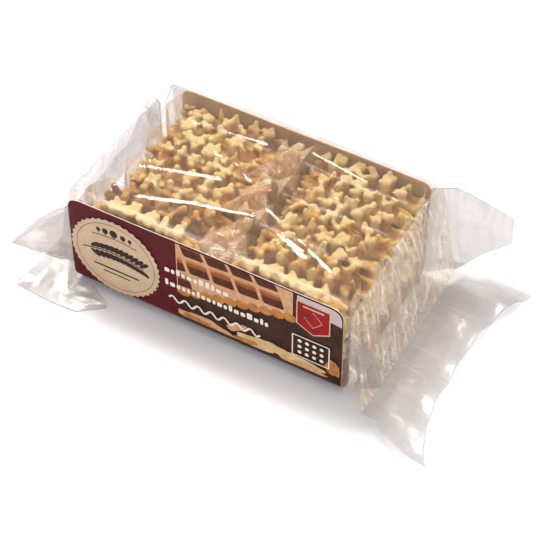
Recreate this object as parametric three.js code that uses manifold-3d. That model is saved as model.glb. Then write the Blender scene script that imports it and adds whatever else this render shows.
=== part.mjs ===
// Flow-wrapped pack of butter waffles: a clear film bag with a printed card band round its middle.
// Millimetres, +Z up, +X along the front. The pack is drawn about the middle of its card band, and
// the finished group is moved so that its origin is at the bottom centre of the whole.
import * as THREE from 'three';
import { mergeVertices } from 'three/addons/utils/BufferGeometryUtils.js';
import Module from 'manifold-3d';

// Driving sizes of the block of waffles and the card round it
const CARD_LENGTH = 172;
const CARD_DEPTH = 104;
const CARD_FRONT = 68.5;
const CARD_BACK = 71.5;
const CARD_THICKNESS = 0.4;
const CARD_FOLD_RADIUS = 10;
const CARD_CORNER_RADIUS = 7;
const CARD_GAP = 0.3;
const CARD_SKEW = 11;

// Driving sizes of the film
const BAG_TOP = 75.5;
const TOP_TILT = 3.5;
const BAG_HALF_DEPTH = CARD_DEPTH / 2 - CARD_THICKNESS - CARD_GAP;
const BAG_BOTTOM = CARD_THICKNESS + CARD_GAP;
const BAG_TOP_RADIUS = 5;
const BAG_BOTTOM_RADIUS = CARD_FOLD_RADIUS - CARD_THICKNESS - CARD_GAP;
const TOP_CROWN = 1.6;
const COLUMN_DIP = 2.2;
const COLUMN_DIP_WIDTH = 16;
const FIN_THICKNESS = 1.2;
const FLOOR_CLEARANCE = 0.1;
const END_BULGE = 2;
const END_WAIST = 4;
const PLEAT_HEIGHT = 1.3;
const PLEAT_PITCH = 15;

// The two sealed ends. Each falls from a shoulder to a crimped seal, then flares into a loose fin.
const RIGHT_END = {
  side: 1,
  shoulder: 89,
  shoulderTop: BAG_TOP - 2,
  skew: 2.5,
  crimp: { x: 104, y: -1, z: 8, half: 62, width: 9 },
  fin: { x: 134, y: -6, z: 1.6, half: 71.5, tip: 16, wave: 5, waves: 5.5 },
};
const LEFT_END = {
  side: -1,
  shoulder: 80,
  shoulderTop: BAG_TOP - 1,
  skew: 5,
  crimp: { x: 98, y: 3, z: 17, half: 57, width: 7 },
  fin: { x: 108, y: 13, z: 18, half: 73, tip: 20, wave: 4, waves: 4.5 },
};

// Counts of the loft's steps
const SIDE_STEPS = 3;
const CORNER_STEPS = 3;
const TOP_STEPS = 26;
const BODY_STATIONS = 13;
const CLOSING_STATIONS = 8;
const FIN_STATIONS = 4;

const wasm = await Module();
wasm.setup();

const mix = (a, b, t) => a + (b - a) * t;
const smooth = (t) => t * t * (3 - 2 * t);

// One half of a section, from its +Y side over the top to its -Y side, or under the bottom.
// Each point is { y, z } for half width a, height h and corner radius r.
function halfOutline(a, h, r) {
  const points = [];
  const quarter = [];
  for (let i = 0; i < SIDE_STEPS; i += 1) {
    quarter.push({ y: a, z: ((h - r) * i) / SIDE_STEPS });
  }
  for (let i = 0; i < CORNER_STEPS; i += 1) {
    const angle = (Math.PI / 2) * (i / CORNER_STEPS);
    quarter.push({ y: a - r + r * Math.cos(angle), z: h - r + r * Math.sin(angle) });
  }
  points.push(...quarter);
  for (let i = 0; i <= TOP_STEPS; i += 1) {
    points.push({ y: mix(a - r, r - a, i / TOP_STEPS), z: h });
  }
  points.push(...quarter.map(({ y, z }) => ({ y: -y, z })).reverse());
  return points;
}

// The bag's section at one station: where its points lie in X, and its outline in Y and Z
function bodySection(x) {
  const end = x < 0 ? LEFT_END : RIGHT_END;
  const nearEnd = smooth(Math.abs(x) / end.shoulder);
  return {
    x: (yn) => x + end.skew * nearEnd * yn,
    y: 0,
    half: BAG_HALF_DEPTH,
    low: BAG_BOTTOM,
    high: mix(BAG_TOP, end.shoulderTop, nearEnd),
    relief: (yn) => {
      const dip = COLUMN_DIP * Math.exp(-((x / COLUMN_DIP_WIDTH) ** 2));
      return TOP_TILT * yn + (TOP_CROWN - dip) * (1 - yn * yn) * (1 - nearEnd);
    },
  };
}

function closingSection(end, t) {
  const { crimp } = end;
  const reach = mix(end.shoulder, crimp.x, t ** 0.8);
  const fall = smooth(t) ** 0.85;
  return {
    x: (yn) => end.side * (reach + END_BULGE * Math.sin(Math.PI * t) * (1 - yn * yn))
      + end.skew * (1 - t) * yn,
    y: crimp.y * t,
    half: mix(BAG_HALF_DEPTH, crimp.half, t) - END_WAIST * Math.sin(Math.PI * t),
    low: mix(BAG_BOTTOM, crimp.z - FIN_THICKNESS / 2, t ** 2.2),
    high: mix(end.shoulderTop, crimp.z + FIN_THICKNESS / 2, fall),
    relief: (yn) => {
      const pleat = Math.cos((2 * Math.PI * crimp.half * yn) / PLEAT_PITCH + 0.7 * end.side);
      return TOP_TILT * yn * (1 - t) + PLEAT_HEIGHT * (1 + pleat) * Math.sin(Math.PI * t) ** 0.8;
    },
  };
}

// The crimped seal and the fin beyond it, a plate that waves; t runs from the seal to the edge
function finSection(end, t) {
  const { crimp, fin } = end;
  const start = crimp.x + crimp.width;
  const lift = (yn) => {
    const phase = Math.sin(Math.PI * fin.waves * yn + 1.3 * end.side);
    return fin.wave * (0.5 + 0.5 * phase) * smooth(t) * (0.45 + 0.55 * yn * yn);
  };
  const middle = (yn) => mix(crimp.z, fin.z, smooth(t)) + lift(yn);
  return {
    x: (yn) => end.side * (mix(start, fin.x, t) + fin.tip * t * Math.abs(yn) ** 3),
    y: mix(crimp.y, fin.y, t),
    half: mix(crimp.half + 1, fin.half, t ** 0.3),
    middle: (yn) => Math.max(middle(yn), FIN_THICKNESS / 2 + FLOOR_CLEARANCE),
  };
}

// Turns a section into its ring of points: over the top from +Y to -Y, and back under the bottom
function ringOf(section) {
  const ring = [];
  if (section.middle) {
    const plate = halfOutline(section.half, FIN_THICKNESS / 2, FIN_THICKNESS / 2.2);
    const place = ({ y, z }, side) => {
      const yn = y / section.half;
      return new THREE.Vector3(section.x(yn), section.y + y, section.middle(yn) + side * z);
    };
    plate.forEach((point) => ring.push(place(point, 1)));
    plate.slice(1, -1).reverse().forEach((point) => ring.push(place(point, -1)));
    return ring;
  }
  const height = (section.high - section.low) / 2;
  const centre = (section.high + section.low) / 2;
  const topRadius = Math.min(BAG_TOP_RADIUS, height * 0.9);
  const bottomRadius = Math.min(BAG_BOTTOM_RADIUS, height * 0.9);
  const place = ({ y, z }, side) => {
    const yn = y / section.half;
    const relief = side > 0 ? section.relief(yn) * (z / height) ** 2 : 0;
    return new THREE.Vector3(section.x(yn), section.y + y, centre + side * z + relief);
  };
  halfOutline(section.half, height, topRadius).forEach((point) => ring.push(place(point, 1)));
  const under = halfOutline(section.half, height, bottomRadius);
  under.slice(1, -1).reverse().forEach((point) => ring.push(place(point, -1)));
  return ring;
}

function bagSections() {
  const end = (e) => {
    const sections = [];
    for (let i = 1; i < CLOSING_STATIONS; i += 1) {
      sections.push(closingSection(e, i / CLOSING_STATIONS));
    }
    sections.push({ ...finSection(e, 0), x: () => e.side * e.crimp.x });
    for (let i = 0; i <= FIN_STATIONS; i += 1) {
      sections.push(finSection(e, i / FIN_STATIONS));
    }
    return sections;
  };
  const body = [];
  for (let i = 0; i <= BODY_STATIONS; i += 1) {
    body.push(bodySection(mix(-LEFT_END.shoulder, RIGHT_END.shoulder, i / BODY_STATIONS)));
  }
  return [...end(LEFT_END).reverse(), ...body, ...end(RIGHT_END)];
}

// A closed loft through rings of equal length, each end closed by a strip between its two layers
function loft(rings) {
  const size = rings[0].length;
  const half = size / 2;
  const positions = rings.flatMap((ring) => ring.flatMap((p) => [p.x, p.y, p.z]));
  const index = [];
  const quad = (a, b, c, d) => index.push(a, b, c, a, c, d);
  for (let i = 0; i < rings.length - 1; i += 1) {
    for (let j = 0; j < size; j += 1) {
      const next = (j + 1) % size;
      quad(i * size + j, i * size + next, (i + 1) * size + next, (i + 1) * size + j);
    }
  }
  const cap = (base, flip) => {
    for (let j = 0; j < half; j += 1) {
      const upper = base + j;
      const upperNext = base + j + 1;
      const lower = base + ((size - j) % size);
      const lowerNext = base + size - j - 1;
      const faces = j === half - 1 ? [[upper, upperNext, lower]] : [
        [upper, upperNext, lowerNext],
        ...(j === 0 ? [] : [[upper, lowerNext, lower]]),
      ];
      faces.forEach(([a, b, c]) => (flip ? index.push(a, c, b) : index.push(a, b, c)));
    }
  };
  cap(0, true);
  cap((rings.length - 1) * size, false);
  const geometry = new THREE.BufferGeometry();
  geometry.setAttribute('position', new THREE.Float32BufferAttribute(positions, 3));
  geometry.setIndex(index);
  return geometry;
}

// A thin plate of two film layers. Its corners go round in order, and place() puts each corner's
// upper (side 1) or under (side -1) face in the pack.
function plate(corners, place) {
  const contour = corners.map(([u, v]) => new THREE.Vector2(u, v));
  if (THREE.ShapeUtils.isClockWise(contour)) {
    throw new Error('a plate needs its corners anticlockwise');
  }
  const count = corners.length;
  const points = [1, -1].flatMap((side) => corners.map((corner) => place(corner, side)));
  const index = [];
  THREE.ShapeUtils.triangulateShape(contour, []).forEach(([a, b, c]) => {
    index.push(a, b, c, a + count, c + count, b + count);
  });
  for (let i = 0; i < count; i += 1) {
    const next = (i + 1) % count;
    index.push(i, i + count, next + count, i, next + count, next);
  }
  const geometry = new THREE.BufferGeometry();
  geometry.setFromPoints(points);
  geometry.setIndex(index);
  return geometry;
}

// A dog-ear stands out of a corner of the bag: each corner is [outward, up], bent sideways by bow
function dogEar({ corners, foot, turn, bow }) {
  const out = new THREE.Vector3(Math.cos(turn), Math.sin(turn), 0);
  const normal = new THREE.Vector3(Math.sin(turn), -Math.cos(turn), 0);
  const reach = Math.max(...corners.map(([u]) => u));
  return plate(corners, ([u, v], side) => new THREE.Vector3(foot[0], foot[1], v)
    .addScaledVector(out, u)
    .addScaledVector(normal, bow * (u / reach) ** 2 + (side * FIN_THICKNESS) / 2));
}

const DEG = Math.PI / 180;
const DOG_EARS = [
  // right, at the back: the high smooth ear
  {
    corners: [[-3, 6], [14, 10], [26, 22], [44, 35], [44, 52], [27, 66], [11, 75], [-3, 74]],
    foot: [91, 48],
    turn: 28 * DEG,
    bow: 2,
  },
  // right, at the front: a short ear folded along the end
  {
    corners: [[-3, 8], [10, 10], [20, 19], [20, 28], [8, 48], [-3, 60]],
    foot: [89, -48],
    turn: -6 * DEG,
    bow: 1,
  },
  // left, at the front
  {
    corners: [[-3, 10], [14, 14], [30, 18], [40, 24], [26, 42], [14, 52], [-3, 64]],
    foot: [-83, -48],
    turn: 200 * DEG,
    bow: -2,
  },
  // left, at the back
  {
    corners: [[-3, 9], [10, 13], [34, 17], [34, 36], [14, 52], [4, 59], [-3, 61]],
    foot: [-88, 46],
    turn: 142 * DEG,
    bow: 2,
  },
];

// The lower layer of the left front ear lies on the floor before the card and rises to the seal.
// Each corner is [x, y, height above the floor].
const FLOOR_EAR = [
  [-59, -62, 0], [-72, -54, 0], [-87, -53, 1], [-88, -40, 5], [-104, -40, 14], [-106, -56, 8],
  [-114, -72, 0], [-90, -74, 0], [-73, -73, 0],
];

function floorEar(corners) {
  const ground = FLOOR_CLEARANCE + FIN_THICKNESS / 2;
  return plate(corners, ([x, y, rise], side) => (
    new THREE.Vector3(x, y, ground + rise + (side * FIN_THICKNESS) / 2)));
}

// Joins closed meshes into one solid
function fuse(geometries) {
  const solids = geometries.map((geometry) => {
    const bare = geometry.clone();
    bare.deleteAttribute('normal');
    bare.deleteAttribute('uv');
    const merged = mergeVertices(bare, 1e-4);
    return new wasm.Manifold(new wasm.Mesh({
      numProp: 3,
      vertProperties: Float32Array.from(merged.attributes.position.array),
      triVerts: Uint32Array.from(merged.index.array),
    }));
  });
  const mesh = solids.reduce((whole, solid) => whole.add(solid)).getMesh();
  const geometry = new THREE.BufferGeometry();
  geometry.setAttribute('position', new THREE.BufferAttribute(mesh.vertProperties, 3));
  geometry.setIndex(new THREE.BufferAttribute(mesh.triVerts, 1));
  geometry.computeVertexNormals();
  return geometry;
}

function filmBag() {
  const bag = loft(bagSections().map(ringOf));
  return fuse([bag, ...DOG_EARS.map(dogEar), floorEar(FLOOR_EAR)]);
}

// The card band: a front panel, a base and a back panel, folded round at the two lower edges.
// It is a strip swept along the path, narrowed at its two ends by the rounded corners. Its left
// edge runs in toward the back, as the bag's left end does.
function cardPath() {
  const reach = CARD_DEPTH / 2;
  const r = CARD_FOLD_RADIUS;
  const steps = 6;
  const path = [];
  const add = (y, z, ny, nz) => path.push({ y, z, ny, nz });
  const corner = (angle) => CARD_CORNER_RADIUS * (1 - Math.cos(angle));
  for (let i = 0; i <= steps; i += 1) {
    add(-reach, CARD_FRONT - corner((Math.PI / 2) * (i / steps)), -1, 0);
  }
  for (let i = 0; i <= steps; i += 1) {
    const angle = Math.PI + (Math.PI / 2) * (i / steps);
    add(-reach + r + r * Math.cos(angle), r + r * Math.sin(angle), Math.cos(angle), Math.sin(angle));
  }
  for (let i = 0; i <= steps; i += 1) {
    const angle = -Math.PI / 2 + (Math.PI / 2) * (i / steps);
    add(reach - r + r * Math.cos(angle), r + r * Math.sin(angle), Math.cos(angle), Math.sin(angle));
  }
  for (let i = steps; i >= 0; i -= 1) {
    add(reach, CARD_BACK - corner((Math.PI / 2) * (i / steps)), 1, 0);
  }
  return path;
}

function labelBand() {
  const halfAt = (z, top) => {
    const into = Math.min(top - z, CARD_CORNER_RADIUS);
    const rise = CARD_CORNER_RADIUS - into;
    return CARD_LENGTH / 2 - CARD_CORNER_RADIUS + Math.sqrt(CARD_CORNER_RADIUS ** 2 - rise ** 2);
  };
  const positions = [];
  const path = cardPath();
  path.forEach(({ y, z, ny, nz }) => {
    const half = halfAt(z, y < 0 ? CARD_FRONT : CARD_BACK);
    const left = CARD_SKEW * (y / CARD_DEPTH + 0.5) - half;
    const inner = { y: y - ny * CARD_THICKNESS, z: z - nz * CARD_THICKNESS };
    positions.push(left, y, z, half, y, z, half, inner.y, inner.z, left, inner.y, inner.z);
  });
  const index = [];
  const quad = (a, b, c, d) => index.push(a, b, c, a, c, d);
  for (let i = 0; i < path.length - 1; i += 1) {
    for (let j = 0; j < 4; j += 1) {
      const next = (j + 1) % 4;
      quad(i * 4 + j, (i + 1) * 4 + j, (i + 1) * 4 + next, i * 4 + next);
    }
  }
  const last = (path.length - 1) * 4;
  quad(0, 1, 2, 3);
  quad(last + 3, last + 2, last + 1, last);
  const geometry = new THREE.BufferGeometry();
  geometry.setAttribute('position', new THREE.Float32BufferAttribute(positions, 3));
  geometry.setIndex(index);
  geometry.computeVertexNormals();
  return geometry;
}

const filmMaterial = new THREE.MeshStandardMaterial({
  color: 0xe9e2dc,
  roughness: 0.12,
  metalness: 0,
  transparent: true,
  opacity: 0.45,
});
const cardMaterial = new THREE.MeshStandardMaterial({
  color: 0x5c1c22,
  roughness: 0.35,
  metalness: 0,
});

const group = new THREE.Group();
const addPart = (name, geometry, material) => {
  const mesh = new THREE.Mesh(geometry, material);
  mesh.name = name;
  group.add(mesh);
};
addPart('film_bag', filmBag(), filmMaterial);
addPart('label_band', labelBand(), cardMaterial);

// The origin goes to the bottom centre of the whole pack, fins included
const whole = new THREE.Box3().setFromObject(group);
const middle = whole.getCenter(new THREE.Vector3());
group.position.set(-middle.x, -middle.y, -whole.min.z);

export default group;
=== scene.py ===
"""A clear flow-wrapped pack of butter waffles: film, sachets, waffles and printed card band."""

import math

import bpy
import numpy as np
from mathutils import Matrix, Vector


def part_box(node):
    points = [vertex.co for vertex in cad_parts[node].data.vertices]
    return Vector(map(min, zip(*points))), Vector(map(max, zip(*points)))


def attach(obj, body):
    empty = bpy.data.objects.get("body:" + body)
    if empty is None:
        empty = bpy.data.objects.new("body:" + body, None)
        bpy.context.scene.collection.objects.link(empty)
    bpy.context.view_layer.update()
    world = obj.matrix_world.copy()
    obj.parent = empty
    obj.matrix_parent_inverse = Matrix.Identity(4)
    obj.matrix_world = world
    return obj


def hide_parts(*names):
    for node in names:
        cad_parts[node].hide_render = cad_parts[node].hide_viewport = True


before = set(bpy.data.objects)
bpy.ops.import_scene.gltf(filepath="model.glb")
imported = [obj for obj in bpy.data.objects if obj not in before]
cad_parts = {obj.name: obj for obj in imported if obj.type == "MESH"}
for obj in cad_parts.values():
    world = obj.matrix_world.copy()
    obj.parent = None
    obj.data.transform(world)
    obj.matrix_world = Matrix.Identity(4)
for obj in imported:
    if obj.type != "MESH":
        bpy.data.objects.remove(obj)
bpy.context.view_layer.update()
scene = bpy.context.scene

# The pack is drawn in millimetres about the middle of its card band, as the solids are
MM = 0.001
card_low, card_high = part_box("label_band")
ORIGIN = np.array([
    (card_low[0] + card_high[0]) / 2,
    (card_low[1] + card_high[1]) / 2,
    card_low[2],
])
DEG = math.pi / 180
TURN = 2 * math.pi
UP = np.array([0.0, 0.0, 1.0])

# Driving sizes of the card
CARD_LENGTH = 172
CARD_DEPTH = 104
CARD_FRONT = 68.5
CARD_BACK = 71.5
CARD_THICKNESS = 0.4
CARD_FOLD_RADIUS = 10
CARD_CORNER_RADIUS = 7
CARD_GAP = 0.3
CARD_SKEW = 11

# Driving sizes of the film bag
BAG_TOP = 75.5
TOP_TILT = 3.5
BAG_HALF_DEPTH = CARD_DEPTH / 2 - CARD_THICKNESS - CARD_GAP
BAG_BOTTOM = CARD_THICKNESS + CARD_GAP
BAG_TOP_RADIUS = 5
BAG_BOTTOM_RADIUS = CARD_FOLD_RADIUS - CARD_THICKNESS - CARD_GAP
TOP_CROWN = 1.6
COLUMN_DIP = 2.2
COLUMN_DIP_WIDTH = 16
FIN_THICKNESS = 0.5
FLOOR_CLEARANCE = 0.1
END_BULGE = 2
END_WAIST = 4
PLEAT_HEIGHT = 1.3
PLEAT_PITCH = 15

RIGHT_END = {
    "side": 1, "shoulder": 89, "top": BAG_TOP - 2, "skew": 2.5,
    "crimp": {"x": 104, "y": -1, "z": 8, "half": 62, "width": 9},
    "fin": {"x": 134, "y": -6, "z": 1.6, "half": 71.5, "tip": 16, "wave": 5, "waves": 5.5},
}
LEFT_END = {
    "side": -1, "shoulder": 80, "top": BAG_TOP - 1, "skew": 5,
    "crimp": {"x": 98, "y": 3, "z": 17, "half": 57, "width": 7},
    "fin": {"x": 108, "y": 13, "z": 18, "half": 73, "tip": 20, "wave": 4, "waves": 4.5},
}

# Driving sizes of the waffles
WAFFLE_HALF_WIDTH = 36
WAFFLE_HALF_HEIGHT = 33.6
WAFFLE_SQUARENESS = 3.8
WAFFLE_THICKNESS = 12.3
RIDGE_PITCH = 10.3
ROWS = 4
ROW_PITCH = 25.4
SHELF = 1.6
COLUMN_CENTRES = (-36, 50)


def srgb(*display):
    """A display colour of 0 to 255 as the linear colour that a shader takes"""
    shares = (value / 255 for value in display)
    return (*(c / 12.92 if c <= 0.04045 else ((c + 0.055) / 1.055) ** 2.4 for c in shares), 1.0)


def mix(a, b, t):
    return a + (b - a) * t


def smooth(t):
    return t * t * (3 - 2 * t)


def ramped(values, start, stop):
    """0 at start, 1 at stop and even between, kept from 0 to 1"""
    return np.clip((values - start) / (stop - start), 0, 1)


def points_of(x, y, z):
    """Points from three coordinates, each an array or one number for all"""
    return np.stack(np.broadcast_arrays(x, y, z), axis=-1).astype(float)


# Lattice noise in numpy, so that the shapes are the same each run
def lattice_value(cells, seed):
    """A steady random value from -1 to 1 for each whole-number cell"""
    mixed = cells.astype(np.int64) * np.array([73856093, 19349663, 83492791])
    h = mixed[..., 0] ^ mixed[..., 1] ^ mixed[..., 2] ^ (seed * 2654435761)
    h = (h ^ (h >> 13)) * 1274126177 & 0xFFFFFFFF
    h = (h ^ (h >> 16)) & 0xFFFFFF
    return h / 0x7FFFFF - 1


def noise(points, size, seed):
    """Smooth noise from -1 to 1; size is one number, or three for a stretched grain"""
    q = points / np.asarray(size, float)
    base = np.floor(q)
    f = smooth(q - base)
    total = np.zeros(len(points))
    for corner in np.ndindex(2, 2, 2):
        weight = np.prod(np.where(np.array(corner) == 1, f, 1 - f), axis=1)
        total += weight * lattice_value(base + np.array(corner), seed)
    return total


def ridged(points, size, seed):
    """Sharp-crested noise from 0 to 1, as of creased film"""
    return 1 - np.abs(noise(points, size, seed))


def add_object(name, data):
    added = bpy.data.objects.new(name, data)
    scene.collection.objects.link(added)
    return added


def make_piece(name, points, faces, materials, face_slots=None, values=None, shade=True):
    """A mesh object from pack millimetres. values is one number a point, kept as an attribute of
    browning and painted shade.
    """
    mesh = bpy.data.meshes.new(name)
    mesh.from_pydata((np.asarray(points) * MM + ORIGIN).tolist(), [], [list(f) for f in faces])
    for material in materials:
        mesh.materials.append(material)
    if face_slots is not None:
        mesh.polygons.foreach_set("material_index", np.asarray(face_slots, np.int32))
    if values is not None:
        toast_and_shade = mesh.attributes.new("toast_and_shade", "FLOAT", "POINT")
        toast_and_shade.data.foreach_set("value", np.asarray(values, np.float32))
    mesh.polygons.foreach_set("use_smooth", np.full(len(mesh.polygons), shade))
    mesh.update()
    return add_object(name, mesh)


def grid_faces(rows, columns, wrap=False):
    """Quads of a grid of points laid out row by row; wrap joins the last column to the first"""
    across = columns if wrap else columns - 1
    i, j = np.meshgrid(np.arange(rows - 1), np.arange(across), indexing="ij")
    here, after = i * columns + j, i * columns + (j + 1) % columns
    return np.stack([here, after, after + columns, here + columns], axis=-1).reshape(-1, 4).tolist()


def sheet_faces(rows, columns):
    """Front, back and rim faces of two like grids of points, the front one's points first"""
    count = rows * columns
    front = grid_faces(rows, columns)
    back = [[f + count for f in reversed(face)] for face in front]
    index = np.arange(count).reshape(rows, columns)
    edges = (index[0, :-1], index[:-1, -1], index[-1, :0:-1], index[:0:-1, 0])
    rim = np.concatenate(edges).tolist()
    sides = [[after, here, here + count, after + count]
             for here, after in zip(rim, rim[1:] + rim[:1])]
    return front, back, sides


def capped_loft(rings):
    """Points and faces of a loft with one flat face on each end"""
    size = len(rings[0])
    last = (len(rings) - 1) * size
    caps = [list(range(size))[::-1], list(range(last, last + size))]
    return np.concatenate(rings), grid_faces(len(rings), size, wrap=True) + caps


def doubled_sheet(middle, normal):
    """A closed thin sheet from a grid of middle points: rows by columns by 3, with unit normals"""
    offset = normal * FIN_THICKNESS / 2
    points = np.concatenate([(middle + offset).reshape(-1, 3), (middle - offset).reshape(-1, 3)])
    front, back, sides = sheet_faces(*middle.shape[:2])
    return points, front + back + sides


def join_parts(parts):
    """Many (points, faces) pairs as one"""
    points, faces, base = [], [], 0
    for some_points, some_faces in parts:
        points.append(some_points)
        faces += [[f + base for f in face] for face in some_faces]
        base += len(some_points)
    return np.concatenate(points), faces


# Materials
class Nodes:
    """A small helper that adds and joins the nodes of one material, or of the world"""

    def __init__(self, name, world=False):
        self.owner = (bpy.data.worlds if world else bpy.data.materials).new(name)
        self.owner.use_nodes = True
        self.tree = self.owner.node_tree
        self.tree.nodes.clear()
        self.out = self.add("ShaderNodeOutputWorld" if world else "ShaderNodeOutputMaterial")

    def add(self, kind, inputs=None, **settings):
        node = self.tree.nodes.new(kind)
        for key, value in settings.items():
            setattr(node, key, value)
        for key, value in (inputs or {}).items():
            if isinstance(value, bpy.types.NodeSocket):
                self.tree.links.new(value, node.inputs[key])
            else:
                node.inputs[key].default_value = value
        return node

    def scaled(self, vector, scale):
        node = self.add("ShaderNodeVectorMath", {0: vector, 1: scale}, operation="MULTIPLY")
        return node.outputs[0]

    def place(self):
        """The point's place in millimetres"""
        metres = self.add("ShaderNodeTexCoord").outputs["Object"]
        return self.scaled(metres, (1 / MM, 1 / MM, 1 / MM))

    def noise(self, vector, scale, detail, roughness):
        return self.add("ShaderNodeTexNoise", {
            "Vector": vector, "Scale": scale, "Detail": detail, "Roughness": roughness,
        }).outputs["Fac"]

    def ramp(self, factor, stops):
        node = self.add("ShaderNodeValToRGB", {"Fac": factor})
        elements = node.color_ramp.elements
        for _ in range(len(stops) - 2):
            elements.new(0.5)
        for element, (position, colour) in zip(elements, stops):
            element.position = position
            element.color = colour
        return node.outputs["Color"]

    def range(self, value, low, high, start=0.0, stop=1.0, curve="LINEAR"):
        """Goes from low, where the value is start, to high, where it is stop"""
        return self.add("ShaderNodeMapRange", {
            "Value": value, "From Min": start, "From Max": stop, "To Min": low, "To Max": high,
        }, interpolation_type=curve).outputs["Result"]

    def sum(self, operation, *values):
        return self.add("ShaderNodeMath", dict(enumerate(values)), operation=operation).outputs[0]

    def bump(self, height, strength, distance):
        return self.add("ShaderNodeBump", {
            "Height": height, "Strength": strength, "Distance": distance,
        }).outputs["Normal"]

    def finish(self, shader):
        self.tree.links.new(shader.outputs[0], self.out.inputs["Surface"])
        return self.owner


# Where the top film gets a painted milky sheen toward its back edge, and deeper in tint toward its
# left end
BACK_SHEEN_FROM, BACK_SHEEN_TO = 44, 50.5
DEEP_FROM, DEEP_TO = -60, -74


def film_material(name, tint, haze, gloss, veil=(232, 218, 196), glint_streaks=0.0, crinkle=0.3,
                  grain=(0.035, 0.55, 0.05), ends=None, index=1.5):
    """Clear film: mostly see-through, glossy by Fresnel, with a little haze of the colour veil.
    streaks adds pale lines in patches, finest across the large number of grain: painted glints
    where the film is drawn together, with a bump to match. ends is a deeper tint toward the left
    end; that film also gets a painted milky sheen toward the card's back edge. index is the film's
    refractive index."""
    n = Nodes(name)
    where = n.place()
    relief = n.noise(where, crinkle, 3.0, 0.5)
    haze_and_sheen = n.range(n.noise(where, crinkle * 0.22, 3.0, 0.5), haze * 0.4, haze * 1.6)
    if glint_streaks:
        relief = n.noise(n.scaled(where, grain), 1.0, 4.0, 0.65)
        # painted glints: pale lines of haze along the grain, in patches
        glint_lines = n.range(relief, 0.0, glint_streaks, 0.5, 0.72)
        patches = n.range(n.noise(where, 0.07, 2.0, 0.5), 0.15, 1.5)
        haze_and_sheen = n.sum("MULTIPLY_ADD", glint_lines, patches, haze_and_sheen)
    normal = n.bump(relief, 0.12 + glint_streaks, 0.0006 + 0.002 * glint_streaks)
    colour = (*tint, 1)
    if ends:
        across, back = (float(middle / MM) for middle in ORIGIN[:2])
        places = n.add("ShaderNodeSeparateXYZ", {0: where}).outputs
        # painted sheen: the haze grows toward the back edge, where the film turns over it
        turned = n.range(places["Y"], 0.0, 0.45, back + BACK_SHEEN_FROM, back + BACK_SHEEN_TO, "SMOOTHSTEP")
        haze_and_sheen = n.sum("ADD", haze_and_sheen, turned)
        beyond = n.range(places["X"], 0.0, 1.0, across + DEEP_FROM, across + DEEP_TO, "SMOOTHSTEP")
        colour = n.ramp(beyond, [(0.0, colour), (1.0, (*ends, 1))])
    inside = n.add("ShaderNodeNewGeometry").outputs["Backfacing"]
    bent = n.range(inside, index, 1 / index)
    fresnel = n.add("ShaderNodeFresnel", {"IOR": bent, "Normal": normal})
    clear = n.add("ShaderNodeBsdfTransparent", {"Color": colour})
    shine = n.add("ShaderNodeBsdfGlossy", {
        "Color": (1, 0.97, 0.93, 1), "Roughness": gloss, "Normal": normal,
    })
    milk = n.add("ShaderNodeBsdfDiffuse", {"Color": srgb(*veil), "Normal": normal})
    body = n.add("ShaderNodeMixShader", {0: haze_and_sheen, 1: clear.outputs[0], 2: milk.outputs[0]})
    return n.finish(n.add("ShaderNodeMixShader", {
        0: fresnel.outputs[0], 1: body.outputs[0], 2: shine.outputs[0],
    }))


def waffle_material():
    """Baked batter: pale gold on the crests, browner where it is well done, and darker where it is
    low by real browning and painted shade
    """
    n = Nodes("waffle_crust")
    where = n.place()
    toast_and_shade = n.add("ShaderNodeAttribute", attribute_name="toast_and_shade").outputs["Fac"]
    patches = n.noise(where, 0.11, 4.0, 0.6)
    speckle = n.noise(where, 0.55, 4.0, 0.65)
    shifted = n.sum("MULTIPLY_ADD", patches, 0.5, toast_and_shade)
    colour = n.ramp(n.sum("MULTIPLY_ADD", speckle, 0.34, shifted), [
        (0.22, srgb(232, 211, 158)),
        (0.42, srgb(229, 200, 132)),
        (0.62, srgb(219, 177, 104)),
        (0.82, srgb(201, 145, 76)),
        (1.0, srgb(148, 92, 46)),
    ])
    return n.finish(n.add("ShaderNodeBsdfPrincipled", {
        "Base Color": colour,
        "Normal": n.bump(n.noise(where, 0.8, 6.0, 0.75), 0.9, 0.0018),
        "Roughness": n.range(speckle, 0.45, 0.8),
        "Subsurface Weight": 0.22,
        "Subsurface Radius": (0.0026, 0.0016, 0.0008),
        "Subsurface Scale": 1.0,
        "Specular IOR Level": 0.4,
    }))


def printed_material(name, light, dark, scale=0.35, roughness=0.5):
    """Ink on card: two near shades in soft cloudy patches, a fine tooth and a faint gloss"""
    n = Nodes(name)
    where = n.place()
    cloud = n.noise(where, scale, 4.0, 0.6)
    tooth = n.noise(where, 6.0, 2.0, 0.5)
    return n.finish(n.add("ShaderNodeBsdfPrincipled", {
        "Base Color": n.ramp(cloud, [(0.3, srgb(*dark)), (0.7, srgb(*light))]),
        "Normal": n.bump(tooth, 0.08, 0.0003),
        "Roughness": n.range(tooth, roughness, roughness + 0.12),
        "Specular IOR Level": 0.12,
    }))


def floor_material():
    n = Nodes("floor_white")
    mottle = n.noise(n.place(), 0.02, 2.0, 0.5)
    colour = n.ramp(mottle, [(0.3, srgb(229, 228, 229)), (0.7, srgb(232, 231, 232))])
    return n.finish(n.add("ShaderNodeBsdfPrincipled", {"Base Color": colour, "Roughness": 0.55}))


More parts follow.
